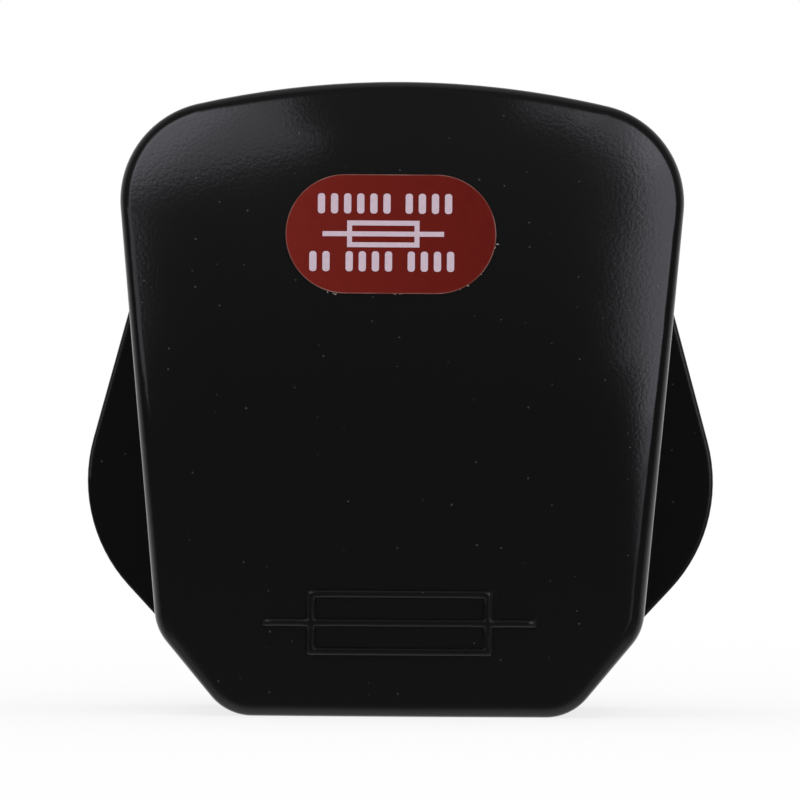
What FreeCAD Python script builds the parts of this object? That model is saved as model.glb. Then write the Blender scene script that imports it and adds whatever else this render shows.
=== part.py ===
# A rewirable, fused mains plug with three rectangular pins, for the British three-pin wall socket.
# It is drawn as it lies on a bench, pins down: x runs across it, y from the flex end to the earth end,
# and z from the socket to the cover. The face that meets the socket is at z = 0, and the line and
# neutral pins stand on y = 0. export() then turns it to the way it sits in a wall: earth pin at the
# top, flex end at the bottom, cover to the front.
import FreeCAD, Part
import math
import os

# Pins: the sizes that the national standard for this plug gives (millimetres, as everywhere below).
LIVE_SPACING = 22.23            # line pin to neutral pin, centre to centre
EARTH_RISE = 22.23              # earth pin above the line through the other two
LIVE_PIN_X, LIVE_PIN_Y = 6.35, 3.97
LIVE_PIN_LENGTH = 17.7          # below the socket face
EARTH_PIN_X, EARTH_PIN_Y = 3.97, 7.95
EARTH_PIN_LENGTH = 22.73
PIN_CORNER_R = 0.35
PIN_TIP_HEIGHT = 2.2            # bevelled tip
PIN_TIP_INSET = 0.95
SLEEVE_LENGTH = 9.3             # insulated part of a live pin, below the socket face
SLEEVE_WALL = 0.45
SLEEVE_ROOT_Z = 2.5             # how far the sleeve reaches up into the base
PIN_SLOT_CLEARANCE = 0.05

# Body outline, seen from the cover, at the front edge.
TOP_Y = 34.4
FLEX_END_Y = -20.0
TOP_ARC_R = 79.3
TOP_CORNER_R = 8.4
SIDE_HALF_WIDTH = 21.95         # at y = 0
SIDE_TAPER = 5.2                # degrees; the body narrows towards the flex end
CHAMFER_ANGLE = 39.7            # degrees from the y axis
END_HALF_WIDTH = 14.65          # where the chamfer would meet the flex end
SIDE_CORNER_R = 4.3
END_CORNER_R = 4.5
DRAFT = 0.5                     # how much wider the cover is at its foot, apart from the flex end

# Finger wings of the base: one arc with a straight line each side of it.
WING_ARC_R = 13.8
WING_CENTRE_X = 13.85
WING_UPPER_ANGLE = 15.2         # degrees from the y axis
WING_LOWER_ANGLE = 42.8
WING_UPPER_RUN = 17.0           # both runs end inside the body
WING_LOWER_RUN = 7.6

# Heights.
SEAT_Z = 4.5                    # top of the base plate, which carries the cover and every pin
FRONT_Z = 26.0                  # crest of the cover
CROWN_R = 190.0                 # the front bulges a little both ways
WALL = 2.4
CROWN_SAG = 5.0                 # more than the front's edge falls below its crest
FRONT_EDGE_TOP_R = 0.9          # rounding of the front's edge along the top
FRONT_EDGE_SIDE_R = 1.4         # what it has grown to where the sides end
FRONT_EDGE_END_R = 1.2          # along the flex end, where the chamfers have brought it down again
PLATE_EDGE_R = 0.6              # on the socket side
WING_EDGE_R = 0.2               # towards the cover
SEAM_CHAMFER = 0.25             # shadow line between cover and base

# Base fittings.
RIM_CLEARANCE = 0.2
RIM_THICKNESS = 1.5
RIM_TOP_Z = 8.0
NEST_WALL = 1.3                 # low walls that hold each pin's foot
NEST_CLEARANCE = 0.1
NEST_TOP_Z = 7.5
PARTITION_X, PARTITION_T = 6.0, 1.4
PARTITION_Y0, PARTITION_Y1, PARTITION_TOP_Z = 6.6, 15.0, 12.0

# Cover screw, its brass insert and its captive washer, on the centre line.
COVER_SCREW_Y = 8.5
COVER_SCREW_R = 1.95
COVER_SCREW_LENGTH = 12.0
COVER_SCREW_HEAD_R, COVER_SCREW_HEAD_H = 3.5, 2.4
COUNTERBORE_R, COUNTERBORE_DEPTH = 4.0, 3.4
SCREW_HOLE_R = 2.25
BOSS_R, BOSS_TOP_Z = 5.0, 7.5
WASHER_R, WASHER_T = 3.6, 0.6
POST_R, POST_END_Z = 4.5, 8.3
INSERT_R, INSERT_LENGTH = 3.0, 8.0
INSERT_BORE_R = 2.0
INSERT_GROOVE_DEPTH, INSERT_GROOVE_WIDTH = 0.3, 2.0

# Brass feet and pillar terminals.
FOOT_T = 2.5
LIVE_FOOT_X = 8.0
FOOT_REAR_Y = -3.4              # end of a live pin's foot towards the flex
LINE_FOOT_Y1 = 5.0
NEUTRAL_PILLAR_Y0, NEUTRAL_PILLAR_Y1 = 2.6, 10.6
EARTH_BLOCK_X, EARTH_BLOCK_Y0, EARTH_BLOCK_Y1 = 7.5, 18.0, 28.0
EARTH_SCREW_Y = 24.5
LOAD_FOOT_X, LOAD_FOOT_Y0 = 7.0, 16.6
LOAD_PILLAR_Y0, LOAD_PILLAR_Y1 = 23.2, 28.6
PILLAR_TOP_Z = 13.5
BRASS_EDGE_R = 0.5
WIRE_HOLE_R, WIRE_HOLE_Z = 1.6, 9.6
TERMINAL_HOLE_R = 1.78
TERMINAL_SCREW_R, TERMINAL_SCREW_LENGTH = 1.75, 3.8
TERMINAL_HEAD_R, TERMINAL_HEAD_H = 2.5, 1.8

# Cartridge fuse and its two spring clips, over the line pin.
FUSE_LENGTH = 25.4
FUSE_R = 3.175
FUSE_Y0 = -2.4
FUSE_Z = 11.8
CAP_LENGTH, CAP_WALL, CAP_END_T = 5.6, 0.225, 0.5
TUBE_BORE_R = 1.7
ELEMENT_R = 0.25
CLIP_T, CLIP_WIDTH = 0.6, 5.0
CLIP_GAP = 0.02
CLIP_LOW_ANGLE, CLIP_HIGH_ANGLE = -62.0, 30.0
CLIP_FLARE, CLIP_FLARE_ANGLE = 1.8, 35.0
CLIP_INSET = 3.2                # from each end of the fuse to the middle of its clip
RIVET_R, RIVET_HEAD_R, RIVET_HEAD_H = 1.0, 1.45, 0.6

# Flex inlet and flex clamp.
FLEX_Z = 11.5                   # axis of the flex
INLET_R, INLET_LIP = 5.0, 0.8
COLLAR_R, COLLAR_LENGTH = 6.8, 6.0
INLET_GAP_X = 7.2               # half the break in the rim, for the flex
CLAMP_Y, CLAMP_WIDTH = -9.5, 6.0
CLAMP_SCREW_X = 9.5
CLAMP_HALF_LENGTH = 12.4
CLAMP_T = 3.2
CLAMP_BORE_R, CLAMP_ARCH_T = 4.2, 2.4
CLAMP_END_R = 2.7
TOOTH_HALF_X, TOOTH_T, TOOTH_DROP, TOOTH_SPACING = 2.2, 0.8, 1.0, 2.4
PILLAR_R, PILLAR_Z = 3.0, 11.0
SADDLE_HALF_X, SADDLE_Z = 6.0, 8.8
SADDLE_WEB_X = 5.4              # where the webs to the pillars start, inside the saddle
CLAMP_HOLE_R = 1.7
CLAMP_PILOT_R, CLAMP_PILOT_DEPTH = 1.5, 6.0
CLAMP_SCREW_R, CLAMP_SCREW_LENGTH = 1.47, 8.5
CLAMP_HEAD_R, CLAMP_HEAD_H = 2.7, 1.8

# Ribs inside the cover.
RIB_T = 1.2
RIB_CLEARANCE = 0.05
GUSSET_Z = 17.0
EARTH_RIB_REACH = 2.4           # how far the middle rib reaches over the earth pin's block
RIB_BITE = 0.5                  # how far ribs run into the walls

# Rating label on the front.
LABEL_X, LABEL_Y = -0.95, 21.35
LABEL_LENGTH, LABEL_HEIGHT = 18.0, 10.2
LABEL_T = 0.12

SCREW_SLOT_WIDTH, SCREW_SLOT_DEPTH = 0.9, 0.8
SCREW_HEAD_CHAMFER = 0.3

X_AXIS = FreeCAD.Vector(1, 0, 0)
Y_AXIS = FreeCAD.Vector(0, 1, 0)
Z_AXIS = FreeCAD.Vector(0, 0, 1)
LINE_X = LIVE_SPACING / 2
BODY_MID_Y = (TOP_Y + FLEX_END_Y) / 2


def point(x, y, z=0.0):
    return FreeCAD.Vector(x, y, z)


def box(x0, x1, y0, y1, z0, z1):
    return Part.makeBox(x1 - x0, y1 - y0, z1 - z0, point(x0, y0, z0))


def post(x, y, radius, z0, z1):
    return Part.makeCylinder(radius, z1 - z0, point(x, y, z0))


def rod(x, z, radius, y0, y1):
    return Part.makeCylinder(radius, y1 - y0, point(x, y0, z), Y_AXIS)


def joined(first, *others):
    return first.multiFuse(list(others)).removeSplitter()


def arc(start, middle, end):
    return Part.Arc(start, middle, end).toShape()


def prism(wire, z0, z1):
    face = Part.Face(wire)
    face.translate(point(0, 0, z0))
    return face.extrude(point(0, 0, z1 - z0))


def fillet(solid, radius, chosen):
    return solid.makeFillet(radius, [edge for edge in solid.Edges if chosen(edge)])


def varied_fillet(solid, radius_at, chosen):
    """Rounds a chain of edges by a radius that changes evenly along each, from one end to the other."""
    document = FreeCAD.newDocument()
    sharp = document.addObject("Part::Feature")
    sharp.Shape = solid
    rounded = document.addObject("Part::Fillet")
    rounded.Base = sharp
    rounded.Edges = [
        (number, *[radius_at(end.Point) for end in edge.Vertexes])
        for number, edge in enumerate(solid.Edges, 1)
        if chosen(edge)
    ]
    document.recompute()
    return rounded.Shape


def chamfer(solid, size, chosen):
    return solid.makeChamfer(size, [edge for edge in solid.Edges if chosen(edge)])


def at_height(z):
    """Chooses the edges that lie flat at one height."""
    return lambda edge: abs(edge.BoundBox.ZMin - z) < 1e-4 and abs(edge.BoundBox.ZMax - z) < 1e-4


def upright(edge):
    return edge.BoundBox.XLength < 1e-4 and edge.BoundBox.YLength < 1e-4


def meeting(normal_a, limit_a, normal_b, limit_b):
    """The point where two lines cross, each given by its outward normal and its distance from the origin."""
    turn = normal_a.x * normal_b.y - normal_a.y * normal_b.x
    x = (limit_a * normal_b.y - limit_b * normal_a.y) / turn
    y = (normal_a.x * limit_b - normal_b.x * limit_a) / turn
    return point(x, y)


def corner(centre, radius, normal_in, normal_out):
    """A rounded corner as (start, middle, end), from one outward normal to the next."""
    between = (normal_in + normal_out).normalize()
    return tuple(centre + normal * radius for normal in (normal_in, between, normal_out))


def body_outline(inset, end_inset):
    """The body's outline moved inwards by inset, and by end_inset at the flex end, as a wire at z = 0."""
    taper = math.radians(SIDE_TAPER)
    chamfer = math.radians(CHAMFER_ANGLE)
    side_normal = point(math.cos(taper), -math.sin(taper))
    chamfer_normal = point(math.cos(chamfer), -math.sin(chamfer))
    end_normal = point(0, -1)
    side_limit = SIDE_HALF_WIDTH * side_normal.x
    chamfer_limit = chamfer_normal.dot(point(END_HALF_WIDTH, FLEX_END_Y))

    arc_centre = point(0, TOP_Y - TOP_ARC_R)
    reach = TOP_ARC_R - TOP_CORNER_R
    lean = taper + math.asin((side_limit - TOP_CORNER_R - side_normal.dot(arc_centre)) / reach)
    top_normal = point(math.sin(lean), math.cos(lean))
    side_limits = side_limit - SIDE_CORNER_R, chamfer_limit - SIDE_CORNER_R
    side_centre = meeting(side_normal, side_limits[0], chamfer_normal, side_limits[1])
    end_limit = -FLEX_END_Y - end_inset - (END_CORNER_R - inset)
    end_centre = meeting(chamfer_normal, chamfer_limit - END_CORNER_R, end_normal, end_limit)

    corners = [
        corner(arc_centre + top_normal * reach, TOP_CORNER_R - inset, top_normal, side_normal),
        corner(side_centre, SIDE_CORNER_R - inset, side_normal, chamfer_normal),
        corner(end_centre, END_CORNER_R - inset, chamfer_normal, end_normal),
    ]
    mirror = [tuple(point(-p.x, p.y) for p in reversed(one)) for one in reversed(corners)]
    ring = corners + mirror
    edges = []
    for this, following in zip(ring, ring[1:]):
        edges.append(arc(*this))
        edges.append(Part.LineSegment(this[2], following[0]).toShape())
    edges.append(arc(*ring[-1]))
    edges.append(arc(ring[-1][2], point(0, TOP_Y - inset), ring[0][0]))
    return Part.Wire(edges)


def ruled(low, high):
    """A solid with straight sides from one wire to the other. Every flat side is a true plane."""
    loft = Part.makeLoft([low, high], True, True)
    sides = []
    for face in loft.Faces:
        ring = [vertex.Point for vertex in face.OuterWire.OrderedVertexes]
        four_sided = len(ring) == 4 and face.findPlane()
        sides.append(Part.Face(Part.makePolygon(ring + ring[:1])) if four_sided else face)
    shell = Part.makeShell(sides)
    shell.sewShape()
    return Part.makeSolid(shell)


def drafted(inset, end_inset):
    """A solid with the body's outline, from the base plate to past the front, wider at its foot."""
    foot = body_outline(inset - DRAFT, end_inset)
    foot.translate(point(0, 0, SEAT_Z))
    front = body_outline(inset, end_inset)
    front.translate(point(0, 0, FRONT_Z))
    return ruled(foot, front)


def crown_ball(drop):
    """The ball whose top is the crowned front, lowered by drop. Its poles lie along y, far from the front."""
    ball = Part.makeSphere(CROWN_R - drop)
    ball.rotate(point(0, 0), X_AXIS, 90)
    return seated(ball, 0, BODY_MID_Y, FRONT_Z - CROWN_R)


def hollow(wall):
    """The space inside a cover of this wall thickness."""
    return drafted(wall, wall).common(crown_ball(wall))


def rounded_rectangle(size_x, size_y, radius, z):
    x, y = size_x / 2, size_y / 2
    slant = radius * (1 - math.sqrt(0.5))
    edges = []
    for sx, sy in ((1, 1), (-1, 1), (-1, -1), (1, -1)):
        beside = point(sx * x, sy * (y - radius), z)
        above = point(sx * (x - radius), sy * y, z)
        turn = (beside, above) if sx == sy else (above, beside)
        if edges:
            edges.append(Part.LineSegment(edges[-1].Vertexes[-1].Point, turn[0]).toShape())
        edges.append(arc(turn[0], point(sx * (x - slant), sy * (y - slant), z), turn[1]))
    edges.append(Part.LineSegment(edges[-1].Vertexes[-1].Point, edges[0].Vertexes[0].Point).toShape())
    return Part.Wire(edges)


def bar(size_x, size_y, z0, z1):
    """A straight length of pin section."""
    return prism(rounded_rectangle(size_x, size_y, PIN_CORNER_R, 0), z0, z1)


def pin_end(size_x, size_y, length, top_z):
    """The lower end of a pin, with a bevelled tip, from its tip up to top_z."""
    tip = rounded_rectangle(size_x - 2 * PIN_TIP_INSET, size_y - 2 * PIN_TIP_INSET, PIN_CORNER_R, -length)
    shoulder = rounded_rectangle(size_x, size_y, PIN_CORNER_R, PIN_TIP_HEIGHT - length)
    top = rounded_rectangle(size_x, size_y, PIN_CORNER_R, top_z)
    return Part.makeLoft([tip, shoulder, top], True, True)


def slotted_screw(head_r, head_h, shank_r, length):
    """A slotted cheese-head screw, seated at z = 0 with its shank below."""
    profile = Part.makePolygon([
        point(0, 0, -length),
        point(shank_r, 0, -length),
        point(shank_r, 0, 0),
        point(head_r, 0, 0),
        point(head_r, 0, head_h - SCREW_HEAD_CHAMFER),
        point(head_r - SCREW_HEAD_CHAMFER, 0, head_h),
        point(0, 0, head_h),
        point(0, 0, -length),
    ])
    turned = Part.Face(profile).revolve(point(0, 0), Z_AXIS, 360)
    half_slot = SCREW_SLOT_WIDTH / 2
    slot = box(-head_r, head_r, -half_slot, half_slot, head_h - SCREW_SLOT_DEPTH, head_h + 1)
    return turned.cut(slot)


def seated(solid, x, y, z):
    solid.translate(point(x, y, z))
    return solid


def terminal_screw(x, y):
    screw = slotted_screw(TERMINAL_HEAD_R, TERMINAL_HEAD_H, TERMINAL_SCREW_R, TERMINAL_SCREW_LENGTH)
    return seated(screw, x, y, PILLAR_TOP_Z)


def pillar_holes(x, screw_y, wire_hole):
    """What is drilled out of a terminal pillar: the wire hole, and the screw's hole down to it."""
    return wire_hole.fuse(post(x, screw_y, TERMINAL_HOLE_R, WIRE_HOLE_Z, PILLAR_TOP_Z + 1))


def live_blade(x):
    """A live pin up to the base plate, necked where its sleeve is moulded on."""
    neck = bar(LIVE_PIN_X - 2 * SLEEVE_WALL, LIVE_PIN_Y - 2 * SLEEVE_WALL, -SLEEVE_LENGTH, SLEEVE_ROOT_Z)
    root = bar(LIVE_PIN_X, LIVE_PIN_Y, SLEEVE_ROOT_Z, SEAT_Z)
    blade = pin_end(LIVE_PIN_X, LIVE_PIN_Y, LIVE_PIN_LENGTH, -SLEEVE_LENGTH).multiFuse([neck, root])
    return seated(blade, x, 0, 0)


def live_sleeve(x):
    outside = bar(LIVE_PIN_X, LIVE_PIN_Y, -SLEEVE_LENGTH, SLEEVE_ROOT_Z)
    inside = bar(LIVE_PIN_X - 2 * SLEEVE_WALL, LIVE_PIN_Y - 2 * SLEEVE_WALL, -SLEEVE_LENGTH, SLEEVE_ROOT_Z)
    return seated(outside.cut(inside), x, 0, 0)


def foot(x, width, y0, y1, z1):
    """A brass block on the base plate with rounded upright edges."""
    return fillet(box(x - width / 2, x + width / 2, y0, y1, SEAT_Z, z1), BRASS_EDGE_R, upright)


def rivet(x, y):
    """The spigot that holds a fuse clip down, headed over the clip."""
    top = SEAT_Z + FOOT_T
    shank = post(x, y, RIVET_R, SEAT_Z + FOOT_T / 2, top + CLIP_T)
    return shank.fuse(post(x, y, RIVET_HEAD_R, top + CLIP_T, top + CLIP_T + RIVET_HEAD_H))


LINE_CLIP_Y = FUSE_Y0 + CLIP_INSET
LOAD_CLIP_Y = FUSE_Y0 + FUSE_LENGTH - CLIP_INSET
NEUTRAL_SCREW_Y = (NEUTRAL_PILLAR_Y0 + NEUTRAL_PILLAR_Y1) / 2
LOAD_SCREW_Y = (LOAD_PILLAR_Y0 + LOAD_PILLAR_Y1) / 2
FOOT_TOP_Z = SEAT_Z + FOOT_T


def earth_pin():
    blade = seated(pin_end(EARTH_PIN_X, EARTH_PIN_Y, EARTH_PIN_LENGTH, SEAT_Z), 0, EARTH_RISE, 0)
    block = foot(0, EARTH_BLOCK_X, EARTH_BLOCK_Y0, EARTH_BLOCK_Y1, PILLAR_TOP_Z)
    wire_hole = rod(0, WIRE_HOLE_Z, WIRE_HOLE_R, EARTH_BLOCK_Y0 - 1, EARTH_BLOCK_Y1 + 1)
    return joined(blade, block).cut(pillar_holes(0, EARTH_SCREW_Y, wire_hole))


def neutral_pin():
    plate = foot(-LINE_X, LIVE_FOOT_X, FOOT_REAR_Y, NEUTRAL_PILLAR_Y1, FOOT_TOP_Z)
    pillar = foot(-LINE_X, LIVE_FOOT_X, NEUTRAL_PILLAR_Y0, NEUTRAL_PILLAR_Y1, PILLAR_TOP_Z)
    wire_hole = rod(-LINE_X, WIRE_HOLE_Z, WIRE_HOLE_R, NEUTRAL_PILLAR_Y0 - 1, NEUTRAL_PILLAR_Y1 + 1)
    solid = joined(live_blade(-LINE_X), plate, pillar)
    return solid.cut(pillar_holes(-LINE_X, NEUTRAL_SCREW_Y, wire_hole))


def line_pin():
    plate = foot(LINE_X, LIVE_FOOT_X, FOOT_REAR_Y, LINE_FOOT_Y1, FOOT_TOP_Z)
    return joined(live_blade(LINE_X), plate, rivet(LINE_X, LINE_CLIP_Y))


def line_terminal():
    """The block that the line wire is screwed to, with the far fuse clip riveted to its foot."""
    plate = foot(LINE_X, LOAD_FOOT_X, LOAD_FOOT_Y0, LOAD_PILLAR_Y1, FOOT_TOP_Z)
    pillar = foot(LINE_X, LOAD_FOOT_X, LOAD_PILLAR_Y0, LOAD_PILLAR_Y1, PILLAR_TOP_Z)
    start = point(LINE_X - LOAD_FOOT_X, LOAD_SCREW_Y, WIRE_HOLE_Z)
    wire_hole = Part.makeCylinder(WIRE_HOLE_R, 2 * LOAD_FOOT_X, start, X_AXIS)
    solid = joined(plate, pillar, rivet(LINE_X, LOAD_CLIP_Y))
    return solid.cut(pillar_holes(LINE_X, LOAD_SCREW_Y, wire_hole))


def fuse_clip(y):
    """A U of spring strip whose jaws grip one end cap of the fuse, open towards the cover."""
    inner = FUSE_R + CLIP_GAP
    outer = inner + CLIP_T
    low, high = math.radians(CLIP_LOW_ANGLE), math.radians(CLIP_HIGH_ANGLE)
    flare = math.radians(CLIP_FLARE_ANGLE)
    floor = FOOT_TOP_Z - FUSE_Z

    def on_circle(radius, angle):
        return point(radius * math.cos(angle), 0, radius * math.sin(angle))

    grip_low, grip_high = on_circle(inner, low), on_circle(inner, high)
    flare_tip = grip_high + point(math.sin(flare), 0, math.cos(flare)) * CLIP_FLARE
    back_tip = flare_tip + point(math.cos(flare), 0, -math.sin(flare)) * CLIP_T
    back_high = on_circle(outer, high - CLIP_T / outer)
    leg_x = grip_low.x + CLIP_T
    back_low = point(leg_x, 0, -math.sqrt(outer ** 2 - leg_x ** 2))
    corners = [
        point(grip_low.x, 0, floor + CLIP_T), grip_low, grip_high, flare_tip,
        back_tip, back_high, back_low, point(leg_x, 0, floor),
    ]

    def side(sign):
        at = [point(sign * p.x, 0, p.z) for p in corners]
        inner_middle, outer_middle = (on_circle(r, (low + high) / 2) for r in (inner, outer))
        edges = [Part.LineSegment(a, b).toShape() for a, b in zip(at, at[1:])]
        edges[1] = arc(at[1], point(sign * inner_middle.x, 0, inner_middle.z), at[2])
        edges[5] = arc(at[5], point(sign * outer_middle.x, 0, outer_middle.z), at[6])
        return edges

    across = [Part.LineSegment(point(-p.x, 0, p.z), p).toShape() for p in (corners[0], corners[-1])]
    ring = Part.Wire(Part.__sortEdges__(side(1) + side(-1) + across))
    strip = Part.Face(ring).extrude(point(0, CLIP_WIDTH, 0))
    clip = seated(strip, LINE_X, y - CLIP_WIDTH / 2, FUSE_Z)
    return clip.cut(post(LINE_X, y, RIVET_R, FOOT_TOP_Z - 1, FOOT_TOP_Z + CLIP_T + 0.01))


def fuse_cap(y_closed, inward):
    """A pressed cup over one end of the fuse. inward is +1 or -1, from its closed end to its mouth."""
    y_open = y_closed + inward * CAP_LENGTH
    y_floor = y_closed + inward * CAP_END_T
    cup = rod(LINE_X, FUSE_Z, FUSE_R, min(y_closed, y_open), max(y_closed, y_open))
    return cup.cut(rod(LINE_X, FUSE_Z, FUSE_R - CAP_WALL, min(y_floor, y_open), max(y_floor, y_open)))


def fuse_tube():
    y0, y1 = FUSE_Y0 + CAP_END_T, FUSE_Y0 + FUSE_LENGTH - CAP_END_T
    return rod(LINE_X, FUSE_Z, FUSE_R - CAP_WALL, y0, y1).cut(rod(LINE_X, FUSE_Z, TUBE_BORE_R, y0, y1))


def fuse_element():
    """The wire that melts, soldered to both caps."""
    return rod(LINE_X, FUSE_Z, ELEMENT_R, FUSE_Y0 + CAP_END_T, FUSE_Y0 + FUSE_LENGTH - CAP_END_T)


def wing_plate():
    """Both finger wings as one plate, whose middle lies inside the body."""
    upper, lower = math.radians(WING_UPPER_ANGLE), math.radians(WING_LOWER_ANGLE)
    centre = point(WING_CENTRE_X, 0)
    arc_start = centre + point(math.cos(upper), math.sin(upper)) * WING_ARC_R
    arc_end = centre + point(math.cos(lower), -math.sin(lower)) * WING_ARC_R
    top = arc_start + point(-math.sin(upper), math.cos(upper)) * WING_UPPER_RUN
    bottom = arc_end + point(-math.sin(lower), -math.cos(lower)) * WING_LOWER_RUN
    edges = []
    for sign in (1, -1):
        a, b, c, d = (point(sign * p.x, p.y) for p in (top, arc_start, arc_end, bottom))
        edges.append(Part.LineSegment(a, b).toShape())
        edges.append(arc(b, point(sign * (WING_CENTRE_X + WING_ARC_R), 0), c))
        edges.append(Part.LineSegment(c, d).toShape())
    for p in (top, bottom):
        edges.append(Part.LineSegment(p, point(-p.x, p.y)).toShape())
    plate = prism(Part.Wire(Part.__sortEdges__(edges)), 0, SEAT_Z)
    plate = fillet(plate, WING_EDGE_R, at_height(SEAT_Z))
    return fillet(plate, PLATE_EDGE_R, at_height(0))


def base_rim():
    """The upstand that the cover slides over, broken at the flex inlet."""
    outer = WALL - DRAFT + RIM_CLEARANCE
    end = WALL + RIM_CLEARANCE
    rim = prism(body_outline(outer, end), SEAT_Z, RIM_TOP_Z)
    rim = rim.cut(prism(body_outline(outer + RIM_THICKNESS, end + RIM_THICKNESS), SEAT_Z, RIM_TOP_Z))
    return rim.cut(box(-INLET_GAP_X, INLET_GAP_X, FLEX_END_Y, CLAMP_Y, SEAT_Z, RIM_TOP_Z))


def nest(x, width, y0, y1):
    """The low wall round a brass foot, and the pocket inside it, as (wall, pocket)."""
    def around(gap):
        return x - width / 2 - gap, x + width / 2 + gap, y0 - gap, y1 + gap

    wall = box(*around(NEST_CLEARANCE + NEST_WALL), SEAT_Z - 1, NEST_TOP_Z)
    return wall, box(*around(NEST_CLEARANCE), SEAT_Z, PILLAR_TOP_Z)


def pin_slot(size_x, size_y, x, y):
    gap = 2 * PIN_SLOT_CLEARANCE
    return seated(bar(size_x + gap, size_y + gap, -1, SEAT_Z + 1), x, y, 0)


def clamp_bed():
    """The saddle under the flex, between the two pillars that take the clamp's screws."""
    y0, y1 = CLAMP_Y - CLAMP_WIDTH / 2, CLAMP_Y + CLAMP_WIDTH / 2
    saddle = box(-SADDLE_HALF_X, SADDLE_HALF_X, y0, y1, SEAT_Z - 1, SADDLE_Z)
    saddle = saddle.cut(rod(0, FLEX_Z, CLAMP_BORE_R, y0 - 1, y1 + 1))
    pillars = [post(sign * CLAMP_SCREW_X, CLAMP_Y, PILLAR_R, SEAT_Z - 1, PILLAR_Z) for sign in (-1, 1)]
    webs = [
        box(x0, x0 + CLAMP_SCREW_X - SADDLE_WEB_X, CLAMP_Y - RIB_T, CLAMP_Y + RIB_T, SEAT_Z - 1, SADDLE_Z)
        for x0 in (-CLAMP_SCREW_X, SADDLE_WEB_X)
    ]
    pilot_z = PILLAR_Z - CLAMP_PILOT_DEPTH
    pilots = [post(sign * CLAMP_SCREW_X, CLAMP_Y, CLAMP_PILOT_R, pilot_z, PILLAR_Z + 1) for sign in (-1, 1)]
    return saddle.multiFuse(pillars + webs).cut(pilots)


def base():
    plate = prism(body_outline(-DRAFT, 0), 0, SEAT_Z)
    plate = fillet(plate, PLATE_EDGE_R, at_height(0))
    nests = [
        nest(0, EARTH_BLOCK_X, EARTH_BLOCK_Y0, EARTH_BLOCK_Y1),
        nest(-LINE_X, LIVE_FOOT_X, FOOT_REAR_Y, NEUTRAL_PILLAR_Y1),
        nest(LINE_X, LIVE_FOOT_X, FOOT_REAR_Y, LINE_FOOT_Y1),
        nest(LINE_X, LOAD_FOOT_X, LOAD_FOOT_Y0, LOAD_PILLAR_Y1),
    ]
    partition = box(
        PARTITION_X - PARTITION_T / 2, PARTITION_X + PARTITION_T / 2,
        PARTITION_Y0, PARTITION_Y1, SEAT_Z - 1, PARTITION_TOP_Z,
    )
    boss = post(0, COVER_SCREW_Y, BOSS_R, SEAT_Z - 1, BOSS_TOP_Z)
    solid = joined(plate, wing_plate())
    solid = joined(solid, base_rim(), clamp_bed(), boss, partition, *[wall for wall, pocket in nests])
    cuts = [pocket for wall, pocket in nests]
    cuts.append(pin_slot(EARTH_PIN_X, EARTH_PIN_Y, 0, EARTH_RISE))
    cuts.extend(pin_slot(LIVE_PIN_X, LIVE_PIN_Y, sign * LINE_X, 0) for sign in (-1, 1))
    cuts.append(post(0, COVER_SCREW_Y, SCREW_HOLE_R, -1, BOSS_TOP_Z + 1))
    cuts.append(post(0, COVER_SCREW_Y, COUNTERBORE_R, -1, COUNTERBORE_DEPTH))
    return solid.cut(cuts).removeSplitter()


def insert_outside():
    """The outer form of the brass insert: a turned bush with a groove that keys it into the post."""
    z0, z1 = POST_END_Z, POST_END_Z + INSERT_LENGTH
    groove_z = (z0 + z1 - INSERT_GROOVE_WIDTH) / 2
    bush = post(0, COVER_SCREW_Y, INSERT_R, z0, z1)
    band = post(0, COVER_SCREW_Y, INSERT_R + 1, groove_z, groove_z + INSERT_GROOVE_WIDTH)
    return bush.cut(band.cut(post(0, COVER_SCREW_Y, INSERT_R - INSERT_GROOVE_DEPTH, z0, z1)))


def cover_insert():
    z0, z1 = POST_END_Z - 1, POST_END_Z + INSERT_LENGTH + 1
    return insert_outside().cut(post(0, COVER_SCREW_Y, INSERT_BORE_R, z0, z1))


def cover_ribs():
    """The screw post with its gussets, and the ribs that keep the pins and the fuse down."""
    half = RIB_T / 2
    held = PILLAR_TOP_Z + RIB_CLEARANCE
    fuse_top = FUSE_Z + FUSE_R + RIB_CLEARANCE
    fuse_mid_y = FUSE_Y0 + FUSE_LENGTH / 2
    return [
        post(0, COVER_SCREW_Y, POST_R, POST_END_Z, FRONT_Z),
        box(-LINE_X, LINE_X, COVER_SCREW_Y - half, COVER_SCREW_Y + half, GUSSET_Z, FRONT_Z),
        box(-half, half, COVER_SCREW_Y - LINE_X, COVER_SCREW_Y + LINE_X, GUSSET_Z, FRONT_Z),
        box(-half, half, COVER_SCREW_Y, EARTH_BLOCK_Y0 + EARTH_RIB_REACH, held, FRONT_Z),
        box(-2 * LINE_X, -LINE_X - half, NEUTRAL_PILLAR_Y1 - RIB_T, NEUTRAL_PILLAR_Y1, held, FRONT_Z),
        box(LINE_X - half, 2 * LINE_X, fuse_mid_y - half, fuse_mid_y + half, fuse_top, FRONT_Z),
    ]


def front_edge_r(place):
    """The rounding of the front's edge at the end of one of its lines or arcs."""
    if place.y > BODY_MID_Y:
        return FRONT_EDGE_TOP_R
    near_end = place.y < FLEX_END_Y + END_CORNER_R / 2
    return FRONT_EDGE_END_R if near_end else FRONT_EDGE_SIDE_R


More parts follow.
